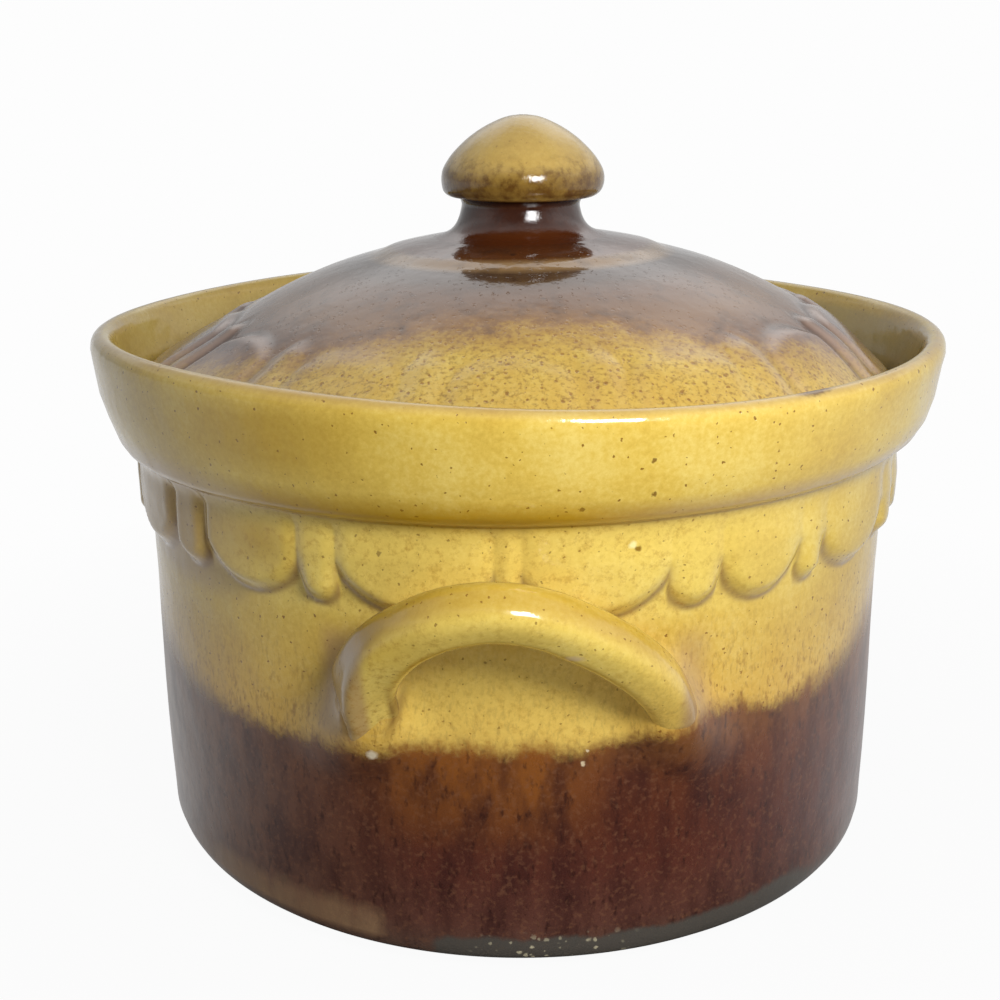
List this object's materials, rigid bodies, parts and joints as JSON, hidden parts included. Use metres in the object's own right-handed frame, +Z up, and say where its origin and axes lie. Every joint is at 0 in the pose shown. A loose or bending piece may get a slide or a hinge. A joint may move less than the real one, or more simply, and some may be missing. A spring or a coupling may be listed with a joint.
{
  "type": "lidded casserole pot",
  "caption": "Round deep stoneware casserole pot with flared collar, arched side handles, relief tongues and a loose domed lid with a mushroom knob.",
  "frame": {"origin": "centre of the flat base, on the table", "axes": "+Z up through the knob, -Y towards the front handle, +X to the right seen from the front"},
  "size_m": [0.2202, 0.2394, 0.1875],
  "materials": {
    "pot_glaze": "glossy honey glaze over a brown lower wall",
    "handle_glaze": "glossy honey glaze",
    "lid_glaze": "glossy brown glaze that fades to honey at the edge",
    "knob_glaze": "glossy honey glaze with a dark brown waist"
  },
  "bodies": {
    "pot": {"pot_body": "pot_glaze", "handle_front": "handle_glaze", "handle_back": "handle_glaze"},
    "lid": {"lid_shell": "lid_glaze", "lid_knob": "knob_glaze"}
  },
  "joints": [
    {"name": "lid_lift", "type": "slide", "parent": "pot", "child": "lid", "axis": [0, 0, 1], "range_m": [0, 0.1]}
  ]
}
